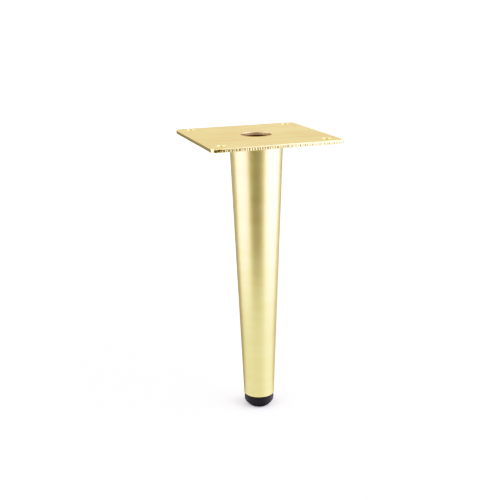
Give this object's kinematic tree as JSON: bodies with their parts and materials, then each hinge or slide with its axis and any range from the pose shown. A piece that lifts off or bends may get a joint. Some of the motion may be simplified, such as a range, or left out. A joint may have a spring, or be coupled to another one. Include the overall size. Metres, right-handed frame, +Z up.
{
  "type": "tapered furniture leg",
  "caption": "Tapered round metal furniture leg with a square screw-on top plate and a black plastic glide at its foot, in satin brass-plated steel.",
  "frame": {"origin": "centre of the foot's flat base, on the floor", "axes": "+Z up along the tube's axis to the mounting plate, X and Y along the plate's sides"},
  "size_m": [0.08, 0.08, 0.18],
  "materials": {
    "brass_plated_steel": "satin brushed brass plating on steel",
    "black_plastic": "moulded, fine matt grain"
  },
  "bodies": {
    "root": {"mounting_plate": "brass_plated_steel", "leg_tube": "brass_plated_steel", "weld_bead": "brass_plated_steel", "foot_glide": "black_plastic"}
  },
  "joints": []
}
